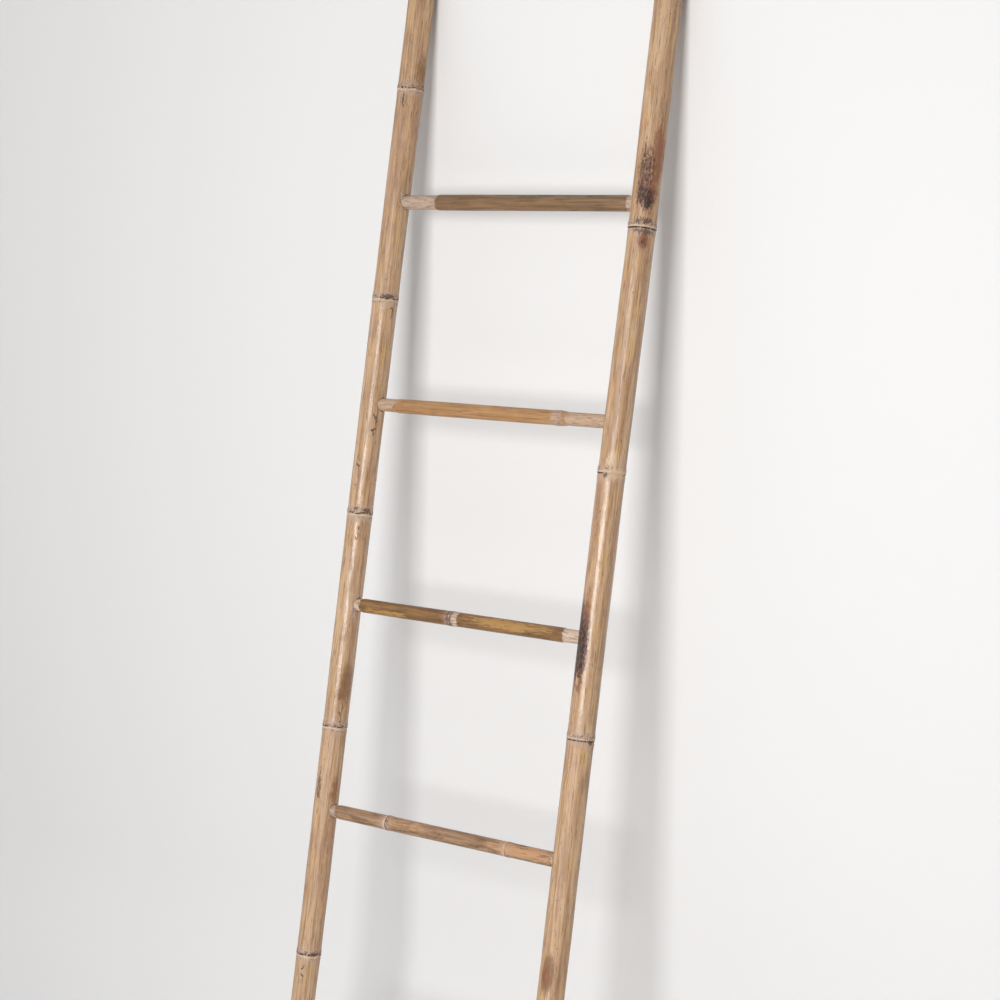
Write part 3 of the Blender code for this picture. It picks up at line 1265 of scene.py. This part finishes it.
@dataclass
class Rung(Culm):
    """A thin culm laid across, its ends shaved down into the rails.

    Attributes:
        left_shaved: length of bare wood that shows at the left end.
        right_shaved: at the right end.
        left_slant: how much further the left one reaches on top than in the middle.
        inner_side: from the rack's middle to each rail's inner side.
        shave: taken off the radius.
        runout: length over which the shaving fades out.
    """

    left_shaved: float = 20 * MM
    right_shaved: float = 20 * MM
    left_slant: float = 0.0
    inner_side: float = 0.209
    shave: float = 1.0 * MM
    runout: float = 4 * MM

    def depth(self, along: float) -> float:
        """How much is shaved off the radius at one place.

        Args:
            along: a place along the rung.

        Returns:
            The depth, in metres.
        """
        left = -self.inner_side + self.left_shaved
        right = self.inner_side - self.right_shaved
        past = max(left + self.runout - along, along - right + self.runout, 0.0)
        return self.shave * min(past / self.runout, 1.0)

    def skin(self) -> list[Station]:
        """The outer rings, thinner where the ends are shaved.

        Returns:
            The rings.
        """
        rings = super().skin()
        left = -self.inner_side + self.left_shaved
        right = self.inner_side - self.right_shaved
        for along in (left, left + self.runout, right - self.runout, right):
            if all(abs(along - ring.along) > 1.5 * MM for ring in rings):
                rings.append(Station(along, self.radius(along)))
        rings.sort(key=lambda ring: ring.along)
        return [Station(ring.along, ring.radius - self.depth(ring.along), ring.tilt) for ring in rings]

    def paint(self, culm: bpy.types.Object) -> None:
        """Adds the shaved ends to the marks, then paints.

        Args:
            culm: the rung, upright.
        """
        left = -self.inner_side + self.left_shaved
        right = self.inner_side - self.right_shaved
        super().paint(culm)
        layer = culm.data.attributes[MarkKind.SHAVED.value]
        for vertex, value in zip(culm.data.vertices, layer.data):
            up = -vertex.co.x / math.hypot(vertex.co.x, vertex.co.y)
            past = max(left + up * self.left_slant - vertex.co.z, vertex.co.z - right)
            value.value = max(value.value, min(max(0.5 + past / (10 * MM), 0.0), 1.0))


# ---------------------------------------------------------------------------------------------
# Pegs
# ---------------------------------------------------------------------------------------------


@dataclass
class Peg:
    """A pin whittled from split bamboo, driven through a rail's back into a tenon.

    Attributes:
        radius: of the pin.
        head: how high its head ends above the rail's axis, towards the wall.
        tip: how far its tip reaches to the front.
        sides: flats left by the knife.
        roughly: how far its surface wanders.
    """

    radius: float = 2.5 * MM
    head: float = 22.5 * MM
    tip: float = 10.0 * MM
    sides: int = 12
    roughly: float = 0.12 * MM

    def build(self, name: str, stands_for: str, place: Matrix, material: bpy.types.Material) -> None:
        """Makes one peg and registers it.

        Args:
            name: the piece's name.
            stands_for: the CAD node it replaces.
            place: from the upright peg to the rack.
            material: split bamboo.
        """
        bpy.ops.object.select_all(action="DESELECT")
        bpy.ops.mesh.primitive_cylinder_add(
            vertices=self.sides,
            radius=self.radius,
            depth=self.head + self.tip,
            location=(0, 0, (self.head - self.tip) / 2),
        )
        peg = bpy.context.object
        peg.name = name
        bake_place(peg)
        edit(peg)
        bpy.ops.mesh.select_mode(type="FACE")
        for end, share, move in ((1, 0.80, 0.35 * MM), (1, 0.6, 0.12 * MM), (-1, 0.55, -1.2 * MM)):
            self.select_end(peg, end)
            bpy.ops.mesh.extrude_region_move(TRANSFORM_OT_translate={"value": (0, 0, move)})
            bpy.ops.transform.resize(value=(share, share, 1))
            bpy.ops.mesh.select_all(action="DESELECT")
        bpy.ops.mesh.select_all(action="SELECT")
        bpy.ops.mesh.subdivide(number_cuts=2)
        bpy.ops.transform.vertex_random(offset=self.roughly, seed=len(name) + ord(name[-1]))
        leave_edit()
        peg.data.materials.append(material)
        peg.matrix_world = place
        bake_place(peg)
        take(peg)
        bpy.ops.object.shade_smooth_by_angle(angle=SMOOTH_ANGLE)
        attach(peg, BODY)
        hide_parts(stands_for)
        LOG.info("%s: %d faces", peg.name, len(peg.data.polygons))

    def select_end(self, peg: bpy.types.Object, end: int) -> None:
        """Selects the face that looks up (1) or down (-1).

        Args:
            peg: the peg in edit mode.
            end: 1 or -1.
        """
        mesh = bmesh.from_edit_mesh(peg.data)
        faces = [face for face in mesh.faces if face.normal.z * end > 0.9]
        outermost = max(faces, key=lambda face: face.calc_center_median().z * end)
        outermost.select_set(True)
        bmesh.update_edit_mesh(peg.data)


# ---------------------------------------------------------------------------------------------
# The rack
# ---------------------------------------------------------------------------------------------


@dataclass
class LadderRack:
    """The whole rack: two rails, five rungs and ten pegs.

    Attributes:
        places: where its pieces lie.
        rail_length: along a rail.
        trim: rail stock below the floor, cut off.
        rung_radii: from the bottom up.
        tenon_cut: taken off a rung's radius at its ends.
        pieces: the rails and rungs made so far.
    """

    places: RackPlaces
    rail_length: float = 2.000
    trim: float = 0.018
    rung_radii: tuple[float, ...] = (11.5 * MM, 11.25 * MM, 11.25 * MM, 11.5 * MM, 12.5 * MM)
    tenon_cut: float = 1.0 * MM
    pieces: list[bpy.types.Object] = field(default_factory=list)

    def rail(
        self, side: Side, radii: tuple[float, float], nodes: tuple[float, ...], **details: object
    ) -> Rail:
        """One rail.

        Args:
            side: left or right.
            radii: at its foot and at its top.
            nodes: its nodes, from the foot.
            details: finish settings under "finish", and any of the rail's own fields.

        Returns:
            The rail.
        """
        place = self.places.rail(side)
        name = f"dried_culm_satin_varnish_{side.value}"
        return Rail(
            name=f"{side.value}_rail_culm",
            stands_for=f"{side.value}_rail",
            place=place,
            low=-self.trim,
            high=self.rail_length,
            low_radius=radii[0],
            high_radius=radii[1],
            nodes=nodes,
            wall=5 * MM,
            finish=VarnishedCulm(name, place, **details.pop("finish")),
            side=side,
            rung_heights=self.places.rung_heights,
            tenon_radii=tuple(radius - self.tenon_cut for radius in self.rung_radii),
            **details,
        )

    def left_rail(self) -> Rail:
        """The left rail: rough dotted nodes, a brown stain at mid height.

        Returns:
            The rail.
        """
        return self.rail(
            Side.LEFT,
            (18.75 * MM, 21.25 * MM),
            (0.080, 0.435, 0.800, 1.143, 1.490, 1.831),
            finish={"seed": 3.1, "node_wear": 0.8, "rings": ROUGH_NODE},
            rim=0.8,
            bends=(
                (0.0, 0.0, 0.0),
                (0.435, 2.6 * MM, 0.0),
                (0.800, 0.4 * MM, 0.4 * MM),
                (1.143, -0.3 * MM, -0.3 * MM),
                (1.490, -1.0 * MM, 0.0),
                (1.831, -0.7 * MM, 0.0),
                (2.000, -0.4 * MM, 0.0),
            ),
            tones=(0.1, -0.25, 0.05, 0.05, 0.0, 0.1, 0.1),
            dullness=(0.1, 0.10, 0.14, 0.0, 0.02, 0.20, 0.40),
            marks=(
                *marks_of(
                    MarkKind.STAIN,
                    (0.870, 70, 0.040, 42, 0.7),
                    (0.854, 46, 0.010, 30, 0.9),
                    (1.860, 80, 0.040, 40, 0.5),
                ),
                *marks_of(MarkKind.SINGE, (0.700, 74, 0.030, 24, 0.6)),
                *marks_of(MarkKind.SHAVED, (0.996, 66, 0.026, 32, 0.58), (1.652, 62, 0.024, 28, 0.5)),
                *marks_of(
                    MarkKind.GRIME,
                    (0.705, -10, 0.030, 20, 0.7),
                    (0.4375, 62, 0.004, 30, 1.0),
                    (0.803, 40, 0.003, 8, 1.0),
                    (1.149, 68, 0.006, 26, 1.0),
                    (1.151, 18, 0.004, 18, 0.8),
                    (1.494, 46, 0.004, 44, 0.9),
                ),
                *marks_of(
                    MarkKind.CRACKED,
                    (1.290, 54, 0.026, 17, 1.0),
                    (1.212, 0, 0.034, 16, 0.8),
                    (1.112, 38, 0.014, 16, 1.0),
                    (1.468, 72, 0.012, 18, 1.0),
                    (1.812, 14, 0.018, 12, 1.0),
                    (0.822, 58, 0.018, 16, 1.0),
                    (0.408, 18, 0.024, 14, 0.7),
                ),
            ),
        )

    def right_rail(self) -> Rail:
        """The right rail: crisp rims, scorched in three places.

        Returns:
            The rail.
        """
        return self.rail(
            Side.RIGHT,
            (20.25 * MM, 21.0 * MM),
            (0.055, 0.445, 0.850, 1.245, 1.611, 1.970),
            finish={"seed": 7.7, "node_wear": 0.15, "accent": "C5A888"},
            rim=1.1,
            bends=(
                (0.0, 0.0, 0.0),
                (0.445, -0.5 * MM, 0.0),
                (0.850, -1.3 * MM, 0.3 * MM),
                (1.245, -1.2 * MM, -0.3 * MM),
                (1.611, 1.7 * MM, 0.0),
                (1.970, 0.5 * MM, 0.0),
            ),
            tones=(0.0, 0.15, 0.0, 0.0, 0.0, 0.1, 0.1),
            dullness=(0.1, 0.15, 0.22, 0.02, 0.10, 0.26, 0.20),
            marks=(
                *marks_of(
                    MarkKind.SINGE,
                    (1.715, 66, 0.060, 40, 0.85),
                    (1.664, 42, 0.032, 48, 0.8),
                    (1.590, 42, 0.014, 34, 0.9),
                    (0.995, -8, 0.080, 26, 1.0),
                    (0.500, 0, 0.022, 24, 0.6),
                ),
                *marks_of(
                    MarkKind.SCORCH,
                    (1.694, 20, 0.044, 46, 0.54),
                    (1.660, 14, 0.024, 30, 0.80),
                    (1.652, 42, 0.022, 32, 0.86),
                    (0.990, -38, 0.075, 30, 1.0),
                    (0.985, -6, 0.064, 26, 0.80),
                ),
                *marks_of(
                    MarkKind.GRIME,
                    (1.590, 42, 0.009, 24, 0.6),
                    (1.620, 35, 0.007, 54, 0.7),
                    (1.604, 40, 0.005, 60, 0.95),
                    (1.241, 8, 0.004, 14, 1.0),
                    (0.847, 76, 0.005, 16, 0.9),
                ),
                *marks_of(MarkKind.ACCENT, (1.245, 52, 0.010, 60, 0.9), (1.262, 34, 0.016, 40, 0.6)),
                *marks_of(MarkKind.CRACKED, (1.717, 8, 0.036, 9, 1.0)),
                *marks_of(MarkKind.STAIN, (0.505, 5, 0.035, 34, 0.95)),
            ),
        )

    def rung(self, number: int, nodes: tuple[float, ...], seed: float, **details: object) -> Rung:
        """One rung.

        Args:
            number: counted from the bottom, from 1.
            nodes: its nodes, from the rack's middle.
            seed: moves its pattern.
            details: finish settings under "finish", and any of the rung's own fields.

        Returns:
            The rung.
        """
        place = self.places.rung(number)
        names = {1: "rung_1_bottom", 5: "rung_5_top"}
        stands_for = names.get(number, f"rung_{number}")
        low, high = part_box(stands_for)
        colours = details.pop("finish")
        plain = {"golden": False, "roughness": 0.40, "rings": THIN_NODE}
        name = f"thin_culm_varnish_rung_{number}"
        finish = VarnishedCulm(name, place, seed, **{**plain, **colours})
        radius = self.rung_radii[number - 1]
        return Rung(
            name=f"rung_{number}_culm",
            stands_for=stands_for,
            place=place,
            low=low.x,
            high=high.x,
            low_radius=radius,
            high_radius=radius,
            nodes=nodes,
            wall=4.5 * MM,
            finish=finish,
            sides=40,
            step=4 * MM,
            rim=0.6,
            septum_hole=2.5 * MM,
            unevenness=0.5 * MM,
            **details,
        )

    def rungs(self) -> list[Rung]:
        """The five rungs, from the bottom up.

        Returns:
            The rungs.
        """
        mottled = {"light": "A88767", "middle": "8A684C", "deep": "604430", "mottling": 0.8, "flecks": 1.0}
        golden = {"light": "B4895A", "middle": "A0764B", "deep": "7F5A38", "mottling": 0.3, "flecks": 0.3}
        dark = {"light": "8E683B", "middle": "77532E", "deep": "49321E", "accent": "A88048"}
        olive = {"light": "8E6C4A", "middle": "76593B", "deep": "523F2C", "accent": "4F4835"}
        return [
            self.rung(1, (0.060,), 1.3, finish=mottled, left_shaved=18 * MM, right_shaved=24 * MM),
            self.rung(
                2,
                (-0.100, 0.126),
                2.9,
                finish={**mottled, "accent": "B98D66"},
                left_shaved=7 * MM,
                right_shaved=1 * MM,
                marks=marks_of(
                    MarkKind.ACCENT, (0.160, -15, 0.075, 80, 0.6), (-0.060, -30, 0.060, 60, 0.3)
                ),
            ),
            self.rung(
                3,
                (-0.024,),
                4.4,
                finish={**dark, "mottling": 0.8, "flecks": 0.8, "bare": "C6AE9A"},
                left_shaved=6 * MM,
                right_shaved=26 * MM,
                marks=(
                    *marks_of(
                        MarkKind.ACCENT, (0.085, -20, 0.085, 60, 0.75), (-0.150, 40, 0.055, 40, 0.6)
                    ),
                    *marks_of(MarkKind.GRIME, (-0.028, 0, 0.004, 179, 0.8)),
                    *marks_of(MarkKind.SHAVED, (-0.016, 0, 0.007, 179, 0.8)),
                ),
            ),
            self.rung(
                4,
                (0.126,),
                5.2,
                finish={**golden, "bare": "B79A80"},
                left_shaved=29 * MM,
                left_slant=12 * MM,
                right_shaved=66 * MM,
                marks=marks_of(MarkKind.SHAVED, (0.125, 0, 0.012, 179, 0.8)),
            ),
            self.rung(
                5,
                (),
                6.6,
                finish={**olive, "mottling": 0.5, "flecks": 0.3},
                left_shaved=61 * MM,
                right_shaved=3 * MM,
                marks=marks_of(MarkKind.ACCENT, (0.070, -75, 0.150, 45, 0.8)),
            ),
        ]

    def build(self) -> None:
        """Builds every piece."""
        rail_cut = CutBamboo("bare_bamboo_sawn_rail", self.places.leant()).material()
        rung_cut = CutBamboo("bare_bamboo_sawn_rung", self.places.rung(1)).material()
        split = CutBamboo(
            "bare_bamboo_split_peg", self.places.peg(Side.LEFT, 1), ground="CBAA7C", bundle="A58053"
        ).material()
        for rail in (self.left_rail(), self.right_rail()):
            self.pieces.append(rail.build(rail_cut))
        for rung in self.rungs():
            self.pieces.append(rung.build(rung_cut))
        for side in Side:
            for number in range(1, len(self.rung_radii) + 1):
                place = self.places.peg(side, number)
                name = f"{side.value}_pin_{number}"
                Peg().build(name, f"rung_{number}_{side.value}_peg", place, split)


# ---------------------------------------------------------------------------------------------
# The studio
# ---------------------------------------------------------------------------------------------


@dataclass
class Studio:
    """A pale floor and wall, one soft key light and an even fill.

    Attributes:
        wall_y: where the wall stands.
        camera_place: the camera's place.
        camera_turn: its turn, in degrees.
        lens: its focal length, in millimetres.
        key_place: the key light's place.
        key_aim: what it points at.
        key_size: its width and height.
        key_power: in watts.
        left_fill: brightness of the soft light from the left.
        right_fill: brightness of the soft light from the right.
        cove_radius: of the bend between floor and wall.
        stage_reach: how far the floor and the wall run out.
    """

    wall_y: float
    camera_place: tuple[float, float, float] = (1.7516, -2.4612, 1.6316)
    camera_turn: tuple[float, float, float] = (81.208, 0.0, 34.452)
    lens: float = 72.0
    key_place: tuple[float, float, float] = (0.70, -2.88, 1.68)
    key_aim: tuple[float, float, float] = (0.0, 0.2, 1.15)
    key_size: tuple[float, float] = (0.90, 1.30)
    key_power: float = 74.0
    left_fill: float = 1.0
    right_fill: float = 0.10
    cove_radius: float = 0.35
    stage_reach: float = 7.0

    def build(self) -> None:
        """Builds the stage, the lights and the camera."""
        self.sweep()
        self.floor_behind()
        self.light()
        self.world()
        self.camera()
        bpy.context.scene.view_settings.view_transform = "Standard"

    def sweep(self) -> None:
        """One seamless flat: the floor, a cove behind the rack's feet, and the wall."""
        bend_y = self.wall_y - self.cove_radius
        bpy.ops.object.select_all(action="DESELECT")
        bpy.ops.mesh.primitive_plane_add(
            size=2 * self.stage_reach, location=(0, bend_y - self.stage_reach, 0)
        )
        flat = bpy.context.object
        flat.name = "studio_sweep"
        bake_place(flat)
        edit(flat)
        bpy.ops.mesh.select_mode(type="EDGE")
        mesh = bmesh.from_edit_mesh(flat.data)
        for edge in mesh.edges:
            edge.select_set(all(abs(vertex.co.y - bend_y) < MM for vertex in edge.verts))
        bmesh.update_edit_mesh(flat.data)
        centre = (0, bend_y, self.cove_radius)
        bpy.ops.mesh.spin(steps=32, angle=math.pi / 2, center=centre, axis=(-1, 0, 0))
        bpy.ops.mesh.extrude_region_move(TRANSFORM_OT_translate={"value": (0, 0, self.stage_reach)})
        bpy.ops.mesh.select_all(action="SELECT")
        bpy.ops.mesh.normals_make_consistent(inside=False)
        floor = min(bmesh.from_edit_mesh(flat.data).faces, key=lambda face: face.calc_center_median().z)
        if floor.normal.z < 0:
            bpy.ops.mesh.flip_normals()
        leave_edit()
        take(flat)
        bpy.ops.object.shade_smooth()
        flat.data.materials.append(MattPaint("sweep_matt_emulsion", "DFDEDD", one_sided=True).material())
        flat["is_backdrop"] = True

    def floor_behind(self) -> None:
        """The floor past the wall, which shows only from behind the rack."""
        middle = self.wall_y - self.cove_radius + self.stage_reach
        bpy.ops.mesh.primitive_plane_add(size=2 * self.stage_reach, location=(0, middle, -0.5 * MM))
        floor = bpy.context.object
        floor.name = "studio_floor_behind"
        bake_place(floor)
        floor.data.materials.append(MattPaint("floor_matt_emulsion", "DFDEDD").material())
        floor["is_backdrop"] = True

    def light(self) -> None:
        """The key light: a tall soft box left of the camera."""
        data = bpy.data.lights.new("key_softbox", "AREA")
        data.shape = "RECTANGLE"
        data.size, data.size_y = self.key_size
        data.energy = self.key_power
        key = bpy.data.objects.new("key_softbox", data)
        bpy.context.scene.collection.objects.link(key)
        key.location = self.key_place
        aim = Vector(self.key_aim) - Vector(self.key_place)
        key.rotation_euler = aim.to_track_quat("-Z", "Y").to_euler()

    def world(self) -> None:
        """Soft pale light from all round, weaker from the right, before an even pale backdrop."""
        world = bpy.data.worlds.new("studio_fill")
        bpy.context.scene.world = world
        world.use_nodes = True
        node = partial(add_node, world.node_tree)
        across = node("SeparateXYZ", node("TexCoord", gives="Generated"))
        strength = node("MapRange", across, -1.0, 1.0, self.left_fill, self.right_fill)
        fill = node("Background", linear("FBFBFC"), strength)
        backdrop = node("Background", linear("E4E3E1"))
        seen = node("MixShader", node("LightPath", gives="Is Camera Ray"), fill, backdrop)
        world.node_tree.links.new(seen, world.node_tree.nodes["World Output"].inputs["Surface"])

    def camera(self) -> None:
        """The camera."""
        data = bpy.data.cameras.new("camera")
        data.lens = self.lens
        data.sensor_width = 36.0
        camera = bpy.data.objects.new("camera", data)
        bpy.context.scene.collection.objects.link(camera)
        camera.location = self.camera_place
        camera.rotation_euler = [math.radians(angle) for angle in self.camera_turn]
        bpy.context.scene.camera = camera


def main() -> None:
    """Loads the frame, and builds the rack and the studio."""
    logging.basicConfig(level=logging.INFO, format="%(name)s: %(message)s")
    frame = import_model()
    cad_box = [list(corner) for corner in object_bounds()]
    places = RackPlaces.from_frame(frame)
    LadderRack(places).build()
    Studio(wall_y=cad_box[1][1] + 1.0 * MM).build()


if __name__ == "__main__":
    main()
